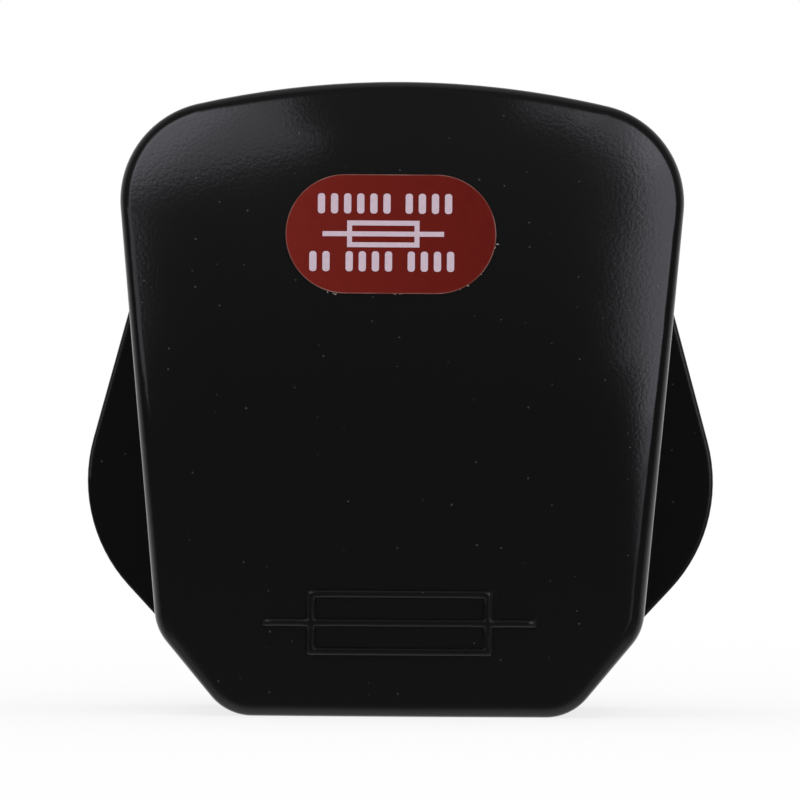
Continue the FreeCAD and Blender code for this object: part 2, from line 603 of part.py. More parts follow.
def cover():
    shell = drafted(0, 0).common(crown_ball(0))
    shell = varied_fillet(shell, front_edge_r, lambda edge: edge.BoundBox.ZMin > FRONT_Z - CROWN_SAG)
    shell = chamfer(shell, SEAM_CHAMFER, at_height(SEAT_Z))
    shell = shell.cut(hollow(WALL))
    collar = rod(0, FLEX_Z, COLLAR_R, FLEX_END_Y + RIB_BITE, FLEX_END_Y + COLLAR_LENGTH)
    inside = hollow(WALL - RIB_BITE)
    ribs = [rib.common(inside) for rib in cover_ribs()]
    shell = joined(shell, collar, *ribs)
    shell = shell.cut(insert_outside())
    shell = shell.cut(rod(0, FLEX_Z, INLET_R, FLEX_END_Y - 1, FLEX_END_Y + COLLAR_LENGTH + 1))
    mouth = FLEX_END_Y

    def inlet_edge(edge):
        flat = edge.BoundBox.YLength < 1e-4 and abs(edge.BoundBox.YMin - mouth) < 1e-4
        return flat and abs(edge.BoundBox.XLength - 2 * INLET_R) < 1e-3

    return chamfer(shell, INLET_LIP, inlet_edge)


def cover_screw():
    screw = slotted_screw(COVER_SCREW_HEAD_R, COVER_SCREW_HEAD_H, COVER_SCREW_R, COVER_SCREW_LENGTH)
    screw.rotate(point(0, 0), X_AXIS, 180)
    return seated(screw, 0, COVER_SCREW_Y, COUNTERBORE_DEPTH)


def captive_washer():
    ring = post(0, COVER_SCREW_Y, WASHER_R, BOSS_TOP_Z, BOSS_TOP_Z + WASHER_T)
    return ring.cut(post(0, COVER_SCREW_Y, COVER_SCREW_R, BOSS_TOP_Z - 1, BOSS_TOP_Z + WASHER_T + 1))


def flex_clamp():
    """The bar that holds the flex down on its saddle, arched over it, with two teeth across the arch."""
    y0, y1 = CLAMP_Y - CLAMP_WIDTH / 2, CLAMP_Y + CLAMP_WIDTH / 2
    strip = box(-CLAMP_HALF_LENGTH, CLAMP_HALF_LENGTH, y0, y1, PILLAR_Z, PILLAR_Z + CLAMP_T)
    strip = fillet(strip, CLAMP_END_R, upright)
    above = box(-CLAMP_HALF_LENGTH, CLAMP_HALF_LENGTH, y0, y1, PILLAR_Z, FRONT_Z)
    arch = rod(0, FLEX_Z, CLAMP_BORE_R + CLAMP_ARCH_T, y0, y1).common(above)
    solid = joined(strip, arch).cut(rod(0, FLEX_Z, CLAMP_BORE_R, y0 - 1, y1 + 1))
    crown_z = FLEX_Z + CLAMP_BORE_R
    teeth = [
        box(-TOOTH_HALF_X, TOOTH_HALF_X, y, y + TOOTH_T, crown_z - TOOTH_DROP, crown_z + CLAMP_ARCH_T / 2)
        for y in (CLAMP_Y - (TOOTH_SPACING + TOOTH_T) / 2, CLAMP_Y + (TOOTH_SPACING - TOOTH_T) / 2)
    ]
    strip_z = PILLAR_Z + CLAMP_T
    holes = [post(sign * CLAMP_SCREW_X, CLAMP_Y, CLAMP_HOLE_R, PILLAR_Z - 1, strip_z + 1) for sign in (-1, 1)]
    return joined(solid, *teeth).cut(holes).removeSplitter()


def clamp_screw(sign):
    screw = slotted_screw(CLAMP_HEAD_R, CLAMP_HEAD_H, CLAMP_SCREW_R, CLAMP_SCREW_LENGTH)
    return seated(screw, sign * CLAMP_SCREW_X, CLAMP_Y, PILLAR_Z + CLAMP_T)


def rating_label():
    """A thin sticker with round ends that lies on the crowned front."""
    radius = LABEL_HEIGHT / 2
    half = LABEL_LENGTH / 2 - radius
    ends = [post(LABEL_X + sign * half, LABEL_Y, radius, SEAT_Z, FRONT_Z + 1) for sign in (-1, 1)]
    middle = box(LABEL_X - half, LABEL_X + half, LABEL_Y - radius, LABEL_Y + radius, SEAT_Z, FRONT_Z + 1)
    return joined(middle, *ends).common(crown_ball(-LABEL_T)).cut(crown_ball(0))


def export(name, solid):
    """Stands a piece up as it sits in a wall socket and writes it."""
    if len(solid.Solids) != 1 or not solid.isValid():
        raise ValueError(f"{name} is not one valid solid")
    piece = solid.Solids[0]
    piece.rotate(point(0, 0), X_AXIS, 90)
    piece.exportStep(f"parts/{name}.step")
    print(f"{name}: {piece.Volume:.1f} mm3, {len(piece.Faces)} faces")


os.makedirs("parts", exist_ok=True)
export("base", base())
export("cover", cover())
export("rating_label", rating_label())
export("earth_pin", earth_pin())
export("neutral_pin", neutral_pin())
export("line_pin", line_pin())
export("neutral_pin_sleeve", live_sleeve(-LINE_X))
export("line_pin_sleeve", live_sleeve(LINE_X))
export("line_terminal", line_terminal())
export("line_fuse_clip", fuse_clip(LINE_CLIP_Y))
export("load_fuse_clip", fuse_clip(LOAD_CLIP_Y))
export("fuse_tube", fuse_tube())
export("fuse_line_cap", fuse_cap(FUSE_Y0, 1))
export("fuse_load_cap", fuse_cap(FUSE_Y0 + FUSE_LENGTH, -1))
export("fuse_element", fuse_element())
export("earth_terminal_screw", terminal_screw(0, EARTH_SCREW_Y))
export("neutral_terminal_screw", terminal_screw(-LINE_X, NEUTRAL_SCREW_Y))
export("line_terminal_screw", terminal_screw(LINE_X, LOAD_SCREW_Y))
export("flex_clamp", flex_clamp())
export("flex_clamp_screw_left", clamp_screw(-1))
export("flex_clamp_screw_right", clamp_screw(1))
export("cover_screw", cover_screw())
export("cover_screw_washer", captive_washer())
export("cover_insert", cover_insert())
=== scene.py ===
import math

import bmesh
import bpy
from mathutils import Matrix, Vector


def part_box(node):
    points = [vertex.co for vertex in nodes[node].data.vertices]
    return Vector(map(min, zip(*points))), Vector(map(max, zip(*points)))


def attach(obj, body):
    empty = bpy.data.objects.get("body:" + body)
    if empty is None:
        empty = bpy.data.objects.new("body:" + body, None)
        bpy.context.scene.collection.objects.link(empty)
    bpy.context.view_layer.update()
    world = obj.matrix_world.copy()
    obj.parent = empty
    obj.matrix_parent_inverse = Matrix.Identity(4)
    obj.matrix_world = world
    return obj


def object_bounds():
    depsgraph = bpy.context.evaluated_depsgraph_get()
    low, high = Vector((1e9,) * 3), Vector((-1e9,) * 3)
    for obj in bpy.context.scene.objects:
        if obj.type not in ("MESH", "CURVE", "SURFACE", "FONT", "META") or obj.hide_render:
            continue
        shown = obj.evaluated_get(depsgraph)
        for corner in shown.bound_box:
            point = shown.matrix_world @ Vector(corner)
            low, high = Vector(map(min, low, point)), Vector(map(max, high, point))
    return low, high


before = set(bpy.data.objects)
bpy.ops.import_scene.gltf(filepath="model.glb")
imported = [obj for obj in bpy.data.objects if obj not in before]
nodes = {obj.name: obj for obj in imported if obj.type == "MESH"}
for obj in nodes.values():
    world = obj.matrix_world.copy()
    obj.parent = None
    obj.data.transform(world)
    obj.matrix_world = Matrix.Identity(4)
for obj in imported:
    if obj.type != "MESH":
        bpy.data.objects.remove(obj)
cad_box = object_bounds()
scene = bpy.context.scene
scene.view_settings.view_transform = "Standard"

# Camera: straight in front of the cover and far off, as for a catalogue picture. The plug hangs a
# little clockwise in the picture, so the camera leans the other way.
MM = 0.001
RIGHT_ANGLE = math.radians(90)
PICTURE_WIDTH = 68.56 * MM                  # what the picture spans at the cover's widest outline
CAMERA_DISTANCE = 600 * MM
OUTLINE_DEPTH = 2.5 * MM                    # from the cover's crest back to its widest outline
PICTURE_X, PICTURE_Z = -0.08 * MM, 7.18 * MM
CAMERA_LEAN = math.radians(-0.38)
SENSOR_WIDTH = 36
CLIP_NEAR, CLIP_FAR = 10 * MM, 50.0

crest_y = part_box("cover")[0].y
camera = bpy.data.objects.new("camera", bpy.data.cameras.new("camera"))
camera.data.sensor_width = SENSOR_WIDTH
camera.data.lens = SENSOR_WIDTH * CAMERA_DISTANCE / PICTURE_WIDTH
camera.data.clip_start, camera.data.clip_end = CLIP_NEAR, CLIP_FAR
camera.location = (PICTURE_X, crest_y + OUTLINE_DEPTH - CAMERA_DISTANCE, PICTURE_Z)
camera.rotation_euler = (RIGHT_ANGLE, CAMERA_LEAN, 0)
scene.collection.objects.link(camera)
scene.camera = camera


# Room: a white backdrop behind the plug, a white table under it, a pale ceiling and a dark studio in front,
# which gloss and metal show. Everything else gets an even soft light from all round. Places in it are given
# as parts of a direction of length 1.
ROOM_LIGHT = 0.75
STUDIO_DARK, STUDIO_PALE = 0.05, 0.12       # the studio's darkest part, just below the camera, and the rest
STUDIO_DARK_UP, STUDIO_SPREAD = -0.06, 0.34     # how high its darkest part is, and how far off it is pale
BACKDROP_LEVEL, BACKDROP_END = 0.95, 0.35   # the backdrop level with the plug, and straight above or below it
BACKDROP_FRONT, BACKDROP_BACK = -0.36, 0.5  # how far back the studio ends, and where the backdrop is full
TABLE_LEVEL, TABLE_START = 0.62, 0.58       # the table straight below, and how low it begins
TABLE_SIDES = 0.26                          # how much the table rises at both sides
CEILING_LEVEL, CEILING_START = 0.45, 0.84   # the ceiling straight above, and how high it begins


def add(tree, kind, inputs=(), **settings):
    """Adds a node with its settings, and fills its inputs, by name or number, with values or links."""
    one = tree.nodes.new(kind)
    for key, value in settings.items():
        setattr(one, key, value)
    for key, value in dict(inputs).items():
        if isinstance(value, bpy.types.NodeSocket):
            tree.links.new(value, one.inputs[key])
        else:
            one.inputs[key].default_value = value
    return one


world = bpy.data.worlds.new("white_studio")
scene.world = world
world.use_nodes = True
world.cycles.sampling_method = "NONE"
tree = world.node_tree
ray = add(tree, "ShaderNodeLightPath").outputs
toward = add(tree, "ShaderNodeTexCoord").outputs["Generated"]
right, back, up = add(tree, "ShaderNodeSeparateXYZ", {0: toward}).outputs
off_dark = add(tree, "ShaderNodeMath", {0: up, 1: STUDIO_DARK_UP}, operation="SUBTRACT").outputs[0]
paler = add(tree, "ShaderNodeMath", {0: off_dark, 1: off_dark}, operation="MULTIPLY").outputs[0]
studio = add(tree, "ShaderNodeMapRange", {
    "Value": paler, "From Max": STUDIO_SPREAD ** 2, "To Min": STUDIO_DARK, "To Max": STUDIO_PALE,
}).outputs[0]
under = add(tree, "ShaderNodeMath", {0: up, 1: -1.0}, operation="MULTIPLY").outputs[0]
under = add(tree, "ShaderNodeMath", {0: under, 1: 0.0}, operation="MAXIMUM").outputs[0]
beside = add(tree, "ShaderNodeMath", {0: right}, operation="ABSOLUTE").outputs[0]
beside = add(tree, "ShaderNodeMath", {0: beside, 1: under}, operation="MINIMUM").outputs[0]
down = add(tree, "ShaderNodeMath", {0: beside, 1: TABLE_SIDES, 2: under}, operation="MULTIPLY_ADD").outputs[0]
steep = add(tree, "ShaderNodeMath", {0: up, 1: down}, operation="MAXIMUM").outputs[0]
ending = add(tree, "ShaderNodeMath", {0: steep, 1: steep}, operation="MULTIPLY").outputs[0]
white = add(tree, "ShaderNodeMapRange", {
    "Value": ending, "To Min": BACKDROP_LEVEL, "To Max": BACKDROP_END,
}).outputs[0]
backdrop = add(tree, "ShaderNodeMapRange", {
    "Value": back, "From Min": BACKDROP_FRONT, "From Max": BACKDROP_BACK, "To Min": studio, "To Max": white,
}).outputs[0]
table = add(tree, "ShaderNodeMapRange", {
    "Value": down, "From Min": TABLE_START, "From Max": 1.0, "To Min": studio, "To Max": TABLE_LEVEL,
}).outputs[0]
ceiling = add(tree, "ShaderNodeMapRange", {
    "Value": up, "From Min": CEILING_START, "From Max": 1.0, "To Min": studio, "To Max": CEILING_LEVEL,
}).outputs[0]
mirrored = add(tree, "ShaderNodeMath", {0: backdrop, 1: table}, operation="MAXIMUM").outputs[0]
mirrored = add(tree, "ShaderNodeMath", {0: mirrored, 1: ceiling}, operation="MAXIMUM").outputs[0]
seen = add(tree, "ShaderNodeMath", {
    0: ray["Is Camera Ray"], 1: ray["Is Transmission Ray"],
}, operation="MAXIMUM").outputs[0]
# A Mix node takes its share at 0, and what it mixes at 2 and 3 for numbers, 4 and 5 for vectors, 6 and 7 for
# colours.
lit = add(tree, "ShaderNodeMix", {0: ray["Is Glossy Ray"], 2: ROOM_LIGHT, 3: mirrored}).outputs[0]
strength = add(tree, "ShaderNodeMix", {0: seen, 2: lit, 3: 1.0}).outputs[0]
tree.links.new(strength, tree.nodes["Background"].inputs["Strength"])
tree.nodes["Background"].inputs["Color"].default_value = (1, 1, 1, 1)


# Floor: a plain white sheet that the plug stands on. Near the plug it keeps a soft shadow, and further
# off it runs into the white of the backdrop. Mirror images show the room's white table in its place.
FLOOR_SIZE = 20.0
SHADOW_NEAR, SHADOW_FAR = 60 * MM, 220 * MM     # how far from the plug the shadow begins to fade, and is gone
SHADOW_SHARE = 0.2
PAPER_WHITE = "#ECECEC"


def linear(colour):
    """A colour written as sRGB hex, as the linear values that shaders take."""
    shares = [int(colour[place:place + 2], 16) / 255 for place in (1, 3, 5)]
    return *[c / 12.92 if c <= 0.04045 else ((c + 0.055) / 1.055) ** 2.4 for c in shares], 1.0


floor_z = cad_box[0][2]
corners = [(x * FLOOR_SIZE, y * FLOOR_SIZE, floor_z) for x, y in ((-1, -1), (1, -1), (1, 1), (-1, 1))]
floor_mesh = bpy.data.meshes.new("floor")
floor_mesh.from_pydata(corners, [], [(0, 1, 2, 3)])
floor = bpy.data.objects.new("floor", floor_mesh)
scene.collection.objects.link(floor)
# Matt paper, so brightly lit that it is as white as the backdrop away from the plug.
paper = bpy.data.materials.new("white_paper_sheet")
paper.use_nodes = True
tree = paper.node_tree
tree.nodes.remove(tree.nodes["Principled BSDF"])
ray = add(tree, "ShaderNodeLightPath").outputs
place = add(tree, "ShaderNodeTexCoord").outputs["Object"]
away = add(tree, "ShaderNodeVectorMath", {0: place}, operation="LENGTH").outputs["Value"]
bright = add(tree, "ShaderNodeMapRange", {
    "Value": away, "From Min": SHADOW_NEAR, "From Max": SHADOW_FAR, "To Min": 1 - SHADOW_SHARE, "To Max": 1.0,
}).outputs[0]
seen = add(tree, "ShaderNodeMath", {
    0: ray["Is Camera Ray"], 1: ray["Is Transmission Ray"],
}, operation="MAXIMUM").outputs[0]
bright = add(tree, "ShaderNodeMath", {0: seen, 1: bright}, operation="MULTIPLY").outputs[0]
matt = add(tree, "ShaderNodeBsdfDiffuse", {"Color": linear(PAPER_WHITE)}).outputs[0]
glow = add(tree, "ShaderNodeEmission", {"Color": (1, 1, 1, 1), "Strength": 1.0}).outputs[0]
sheet = add(tree, "ShaderNodeMixShader", {0: bright, 1: matt, 2: glow}).outputs[0]
tree.links.new(sheet, tree.nodes["Material Output"].inputs["Surface"])
floor_mesh.materials.append(paper)
floor.visible_glossy = False
floor.visible_shadow = False


# Lamps: soft boxes and white cards beside the camera, whose mirror images are the pale sheens at the
# cover's upper corners, and a fill from above that lights the paper and isn't mirrored.
LAMP_DISTANCE = 1000 * MM
LAMP_COLOUR = "#F4F2FF"
SOFT_BOXES = {                              # mm right, up, wide and high, degrees of lean, radiance
    "soft_box_right": (431, 187, 300, 405, 0, 0.75),
    "soft_box_right_skirt": (431, 160, 300, 460, 0, 0.45),
    "soft_box_right_low_skirt": (431, 130, 300, 520, 0, 0.2),
    "soft_box_right_hem": (431, 100, 300, 580, 0, 0.25),
    "soft_box_right_foot": (431, 30, 300, 720, 0, 0.35),
    "white_card_middle": (271, 125, 20, 150, 0, 0.85),
    "white_card_right": (283, 356, 120, 100, 36, 1.0),
    "white_card_top": (196, 388, 90, 80, 13, 0.8),
    "soft_box_left": (-359, 327, 455, 90, -12, 1.07),
    "soft_box_left_top": (-450, 497, 349, 280, -12, 1.07),
    "soft_box_left_skirt": (-335, 276, 480, 20, -12, 1.07),
    "soft_box_upper_left": (-340, 396, 225, 200, -37, 1.1),
    "white_card_corner": (-392, 402, 300, 150, -45, 0.75),
    "white_wall_left": (-682, 115, 700, 250, 0, 0.9),
}
LAMP_STAGGER = 5 * MM                       # each stands this much behind the last, so that overlaps add up
FILL_HEIGHT, FILL_SIZE, FILL_RADIANCE = 700 * MM, 800 * MM, 1.4


def lamp(name, place, turn, width, height, radiance):
    """A flat lamp that is equally bright all over, as bright in a mirror as its radiance says."""
    one = bpy.data.objects.new(name, bpy.data.lights.new(name, "AREA"))
    one.data.shape = "RECTANGLE"
    one.data.size, one.data.size_y = width, height
    one.data.energy = radiance * math.pi * width * height
    one.data.color = linear(LAMP_COLOUR)[:3]
    one.location, one.rotation_euler = place, turn
    scene.collection.objects.link(one)
    return one


for step, (name, (right, up, width, height, lean, radiance)) in enumerate(SOFT_BOXES.items()):
    place = (right * MM, crest_y - LAMP_DISTANCE - step * LAMP_STAGGER, up * MM)
    lamp(name, place, (RIGHT_ANGLE, math.radians(lean), 0), width * MM, height * MM, radiance)
fill = lamp("fill", (0, 0, FILL_HEIGHT), (0, 0, 0), FILL_SIZE, FILL_SIZE, FILL_RADIANCE)
fill.visible_glossy = False


# Cover: the black shell that faces the room, one hot-pressed thermoset moulding with a glossy crowned
# front. One screw from the socket side holds it to the base.
CROWN_R, CROWN_Z = 190 * MM, 7.2 * MM
CROWN_CENTRE = Vector((0, crest_y + CROWN_R, CROWN_Z))
CROWN_SLACK = math.radians(1.5)             # how far the mesh's normals may stray from the true crown's
EDGE_BLEND = 0.4 * MM                       # how softly the front runs into its rounded edge
PEEL_SIZE, PEEL_DEPTH = 0.3 * MM, 0.0029 * MM
GRIP_LOW, GRIP_HIGH = -1 * MM, 15 * MM      # heights between which the skin goes from polished to handled
GRIP_LEAST = 0.25                           # how handled it is at the bottom, where 1 is fully
GRIP_DULL, RUB_DULL, RUB_SIZE = 0.068, 0.05, 9 * MM     # roughness by the grip and by uneven rubbing
SPECK_SPACING, SPECK_R = 2.2 * MM, 0.085 * MM
SPECK_CHANCE = 0.6                          # the share of places that stay without a speck
FRONT_FACING = -0.97                        # how far towards the front a face must look to hold dust
THERMOSET_BLACK, DUST_GREY = "#0E0E0E", "#3F3E3C"


def new_finish(name):
    """A new material, its node tree, its shader and the place on the piece that its patterns follow."""
    material = bpy.data.materials.new(name)
    material.use_nodes = True
    tree = material.node_tree
    place = add(tree, "ShaderNodeTexCoord").outputs["Object"]
    return material, tree, tree.nodes["Principled BSDF"], place


def dress(node, material):
    """Gives a node of the frame its finish."""
    nodes[node].data.materials.clear()
    nodes[node].data.materials.append(material)


thermoset, tree, shader, place = new_finish("moulded_black_thermoset")
shader.inputs["IOR"].default_value = 1.5
# Pressed against a polished mould, the skin is glossy, with a fine ripple like orange peel on its upper half.
height = add(tree, "ShaderNodeSeparateXYZ", {0: place}).outputs["Z"]
grip = add(tree, "ShaderNodeMapRange", {
    "Value": height, "From Min": GRIP_LOW, "From Max": GRIP_HIGH, "To Min": GRIP_LEAST, "To Max": 1.0,
}).outputs[0]
peel = add(tree, "ShaderNodeTexNoise", {
    "Vector": place, "Scale": 1 / PEEL_SIZE, "Detail": 2.0,
}).outputs["Fac"]
# On the crowned front the normal is the true ball's, so that its mesh doesn't show in the mirror images.
# It turns softly into that of the rounded edge.
from_centre = add(tree, "ShaderNodeVectorMath", {0: place, 1: CROWN_CENTRE}, operation="SUBTRACT").outputs[0]
ball_normal = add(tree, "ShaderNodeVectorMath", {0: from_centre}, operation="NORMALIZE").outputs[0]
soft_normal = add(tree, "ShaderNodeBevel", {"Radius": EDGE_BLEND}, samples=8).outputs[0]
match = add(tree, "ShaderNodeVectorMath", {
    0: ball_normal, 1: soft_normal,
}, operation="DOT_PRODUCT").outputs["Value"]
on_crown = add(tree, "ShaderNodeMath", {
    0: match, 1: math.cos(CROWN_SLACK),
}, operation="GREATER_THAN").outputs[0]
true_normal = add(tree, "ShaderNodeMix", {
    0: on_crown, 4: soft_normal, 5: ball_normal,
}, data_type="VECTOR").outputs[1]
ripple = add(tree, "ShaderNodeBump", {
    "Height": peel, "Distance": PEEL_DEPTH, "Strength": grip, "Normal": true_normal,
}).outputs[0]
tree.links.new(ripple, shader.inputs["Normal"])
# Fingers dull it unevenly, on its upper half most of all.
rub = add(tree, "ShaderNodeTexNoise", {"Vector": place, "Scale": 1 / RUB_SIZE, "Detail": 4.0}).outputs["Fac"]
rubbed = add(tree, "ShaderNodeMath", {0: rub, 1: RUB_DULL}, operation="MULTIPLY").outputs[0]
dull = add(tree, "ShaderNodeMath", {0: grip, 1: GRIP_DULL, 2: rubbed}, operation="MULTIPLY_ADD").outputs[0]
tree.links.new(dull, shader.inputs["Roughness"])
# A few specks of dust lie on its front.
flat = add(tree, "ShaderNodeMapping", {"Vector": place, "Rotation": (RIGHT_ANGLE, 0, 0)}).outputs[0]
cells = add(tree, "ShaderNodeTexVoronoi", {
    "Vector": flat, "Scale": 1 / SPECK_SPACING, "Randomness": 1.0,
}, voronoi_dimensions="2D").outputs
chance = add(tree, "ShaderNodeSeparateXYZ", {0: cells["Color"]}).outputs["X"]
speck_r = add(tree, "ShaderNodeMapRange", {
    "Value": chance, "From Min": SPECK_CHANCE, "From Max": 1.0,
    "To Min": 0.0, "To Max": SPECK_R / SPECK_SPACING,
}).outputs[0]
facing = add(tree, "ShaderNodeNewGeometry").outputs["Normal"]
facing = add(tree, "ShaderNodeSeparateXYZ", {0: facing}).outputs["Y"]
on_front = add(tree, "ShaderNodeMath", {0: facing, 1: FRONT_FACING}, operation="LESS_THAN").outputs[0]
speck_r = add(tree, "ShaderNodeMath", {0: speck_r, 1: on_front}, operation="MULTIPLY").outputs[0]
speck = add(tree, "ShaderNodeMath", {0: cells["Distance"], 1: speck_r}, operation="LESS_THAN").outputs[0]
skin = add(tree, "ShaderNodeMix", {
    0: speck, 6: linear(THERMOSET_BLACK), 7: linear(DUST_GREY),
}, data_type="RGBA").outputs[2]
tree.links.new(skin, shader.inputs["Base Color"])
dress("cover", thermoset)


# Fuse sign: raised on the cover's front in the same pressing, a box with a line through it, which is the
# common sign for a fuse. Its sides are drafted and its edges are worn round.
SIGN_LENGTH, SIGN_BOX_LENGTH, SIGN_BOX_HEIGHT, SIGN_STROKE = 23.6 * MM, 16 * MM, 5.8 * MM, 0.86 * MM
SIGN_Z = -11.9 * MM
SIGN_RAISE, SIGN_ROOT, SIGN_DRAFT, SIGN_EDGE = 0.35 * MM, 0.2 * MM, 0.16 * MM, 0.1 * MM
SIGN_STEP = 1.2 * MM                        # longest face, so that the sign follows the crown
SIGN_RIM_ANGLE = 0.5                        # edges sharper than this, in radians, are worn round
WELD = 0.001 * MM                           # points nearer to each other than this are one


def crown_y(x, z):
    """How far forward the crowned front is above a point of the plug."""
    return CROWN_CENTRE.y - math.sqrt(CROWN_R ** 2 - (x - CROWN_CENTRE.x) ** 2 - (z - CROWN_CENTRE.z) ** 2)


def stretch(stops):
    """The stops of a grid, with more between them so that no step is longer than SIGN_STEP."""
    fine = [stops[0]]
    for start, end in zip(stops, stops[1:]):
        steps = math.ceil((end - start) / SIGN_STEP)
        fine.extend(start + (end - start) * step / steps for step in range(1, steps + 1))
    return fine


def fuse_sign(length, box_length, box_height, stroke, root, rise, draft):
    """A closed sign, from its root behind the plane y = 0 to its rise in front, with sides that lean in."""
    half_box, half_height, half_stroke = box_length / 2, box_height / 2, stroke / 2
    right = [half_box - stroke, half_box, length / 2]
    up = [half_stroke, half_height - stroke, half_height]
    xs = stretch([-x for x in reversed(right)] + right)
    zs = stretch([-z for z in reversed(up)] + up)
    rings = []
    for x0, x1 in zip(xs, xs[1:]):
        for z0, z1 in zip(zs, zs[1:]):
            x, z = abs(x0 + x1) / 2, abs(z0 + z1) / 2
            in_frame = x < half_box and (x > half_box - stroke or z > half_height - stroke)
            if in_frame or z < half_stroke:
                rings.append([(x0, z0), (x1, z0), (x1, z1), (x0, z1)])
    mesh = bmesh.new()
    for side in ("front", "back"):
        points = {at: mesh.verts.new((at[0], root, at[1])) for at in dict.fromkeys(sum(rings, []))}
        faces = [mesh.faces.new([points[at] for at in ring]) for ring in rings]
        mesh.normal_update()
        if side == "front":
            bmesh.ops.inset_region(
                mesh, faces=faces, thickness=draft, depth=rise + root,
                use_boundary=True, use_even_offset=True,
            )
        else:
            bmesh.ops.reverse_faces(mesh, faces=faces)
    bmesh.ops.remove_doubles(mesh, verts=mesh.verts, dist=WELD)
    mesh.normal_update()
    return mesh


sign = fuse_sign(
    SIGN_LENGTH, SIGN_BOX_LENGTH, SIGN_BOX_HEIGHT, SIGN_STROKE, SIGN_ROOT, SIGN_RAISE, SIGN_DRAFT,
)
rims = [edge for edge in sign.edges if edge.calc_face_angle() > SIGN_RIM_ANGLE and edge.verts[0].co.y < 0]
bmesh.ops.bevel(
    sign, geom=rims, offset=SIGN_EDGE, offset_type="OFFSET", segments=3, profile=0.5, affect="EDGES",
)
for vert in sign.verts:
    vert.co.z += SIGN_Z
    vert.co.y += crown_y(vert.co.x, vert.co.z)
fuse_mark = bpy.data.objects.new("raised_fuse_sign", bpy.data.meshes.new("raised_fuse_sign"))
sign.to_mesh(fuse_mark.data)
sign.free()
fuse_mark.data.shade_smooth()
fuse_mark.data.materials.append(thermoset)
scene.collection.objects.link(fuse_mark)
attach(fuse_mark, "root")


# Base: the moulding on the socket side, with the two finger wings, pressed from the same black powder.
# It carries the pins, the fuse and the flex clamp.
dress("base", thermoset)


# Rating label: a sticker with round ends, red vinyl film printed all over in one ink. It is cut out with a
# die and pressed on the cover's front.
LABEL_LOW, LABEL_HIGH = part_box("rating_label")
LABEL_WIDTH, LABEL_HEIGHT = LABEL_HIGH.x - LABEL_LOW.x, LABEL_HIGH.z - LABEL_LOW.z
LABEL_CENTRE = (LABEL_LOW + LABEL_HIGH) / 2
LABEL_R = LABEL_HEIGHT / 2
LABEL_CORE = (LABEL_WIDTH / 2 - LABEL_R, 1, 0)      # half the line that the outline runs round, at any depth
RIM_WIDTH, RIM_FULL = 0.1 * MM, 0.1 * MM / 3        # from the edge to where the pale rim begins, and is full
CUT_SPAN, CUT_LEAST = 2.5 * MM, 0.3         # how long the rim's uneven stretches are, and its weakest
CUT_NOISE_LOW, CUT_NOISE_HIGH = 0.35, 0.65  # the noise at the weakest and the strongest places
MOTTLE_SIZE, MOTTLE_DEPTH = 0.8 * MM, 0.004 * MM
LABEL_RED_LEFT, LABEL_RED_RIGHT, LABEL_RED_MOTTLE, LABEL_RIM_PALE = "#731D14", "#550701", "#66150B", "#88645C"

vinyl, tree, shader, place = new_finish("printed_red_vinyl")
# Inked film is satin rather than glossy.
shader.inputs["Roughness"].default_value = 0.3
shader.inputs["Specular IOR Level"].default_value = 0.12
# The cut edge shows the film's paler body.
off = add(tree, "ShaderNodeVectorMath", {0: place, 1: LABEL_CENTRE}, operation="SUBTRACT").outputs[0]
off = add(tree, "ShaderNodeVectorMath", {0: off}, operation="ABSOLUTE").outputs[0]
off = add(tree, "ShaderNodeVectorMath", {0: off, 1: LABEL_CORE}, operation="SUBTRACT").outputs[0]
off = add(tree, "ShaderNodeVectorMath", {0: off, 1: (0, 0, 0)}, operation="MAXIMUM").outputs[0]
off = add(tree, "ShaderNodeVectorMath", {0: off}, operation="LENGTH").outputs["Value"]
rim = add(tree, "ShaderNodeMapRange", {
    "Value": off, "From Min": LABEL_R - RIM_WIDTH, "From Max": LABEL_R - RIM_FULL,
}).outputs[0]
cut = add(tree, "ShaderNodeTexNoise", {"Vector": place, "Scale": 1 / CUT_SPAN, "Detail": 2.0}).outputs["Fac"]
cut = add(tree, "ShaderNodeMapRange", {
    "Value": cut, "From Min": CUT_NOISE_LOW, "From Max": CUT_NOISE_HIGH, "To Min": CUT_LEAST, "To Max": 1.0,
}).outputs[0]
rim = add(tree, "ShaderNodeMath", {0: rim, 1: cut}, operation="MULTIPLY").outputs[0]
# The red is a little darker towards the right, and mottled.
across = add(tree, "ShaderNodeSeparateXYZ", {0: place}).outputs["X"]
darker_to_right = add(tree, "ShaderNodeMapRange", {
    "Value": across, "From Min": LABEL_LOW.x, "From Max": LABEL_HIGH.x,
}).outputs[0]
mottle = add(tree, "ShaderNodeTexNoise", {
    "Vector": place, "Scale": 1 / MOTTLE_SIZE, "Detail": 3.0,
}).outputs["Fac"]
red = add(tree, "ShaderNodeMix", {
    0: darker_to_right, 6: linear(LABEL_RED_LEFT), 7: linear(LABEL_RED_RIGHT),
}, data_type="RGBA").outputs[2]
red = add(tree, "ShaderNodeMix", {
    0: mottle, 6: red, 7: linear(LABEL_RED_MOTTLE),
}, data_type="RGBA").outputs[2]
red = add(tree, "ShaderNodeMix", {0: rim, 6: red, 7: linear(LABEL_RIM_PALE)}, data_type="RGBA").outputs[2]
tree.links.new(red, shader.inputs["Base Color"])
grain = add(tree, "ShaderNodeBump", {"Height": mottle, "Distance": MOTTLE_DEPTH, "Strength": 1.0}).outputs[0]
tree.links.new(grain, shader.inputs["Normal"])
dress("rating_label", vinyl)


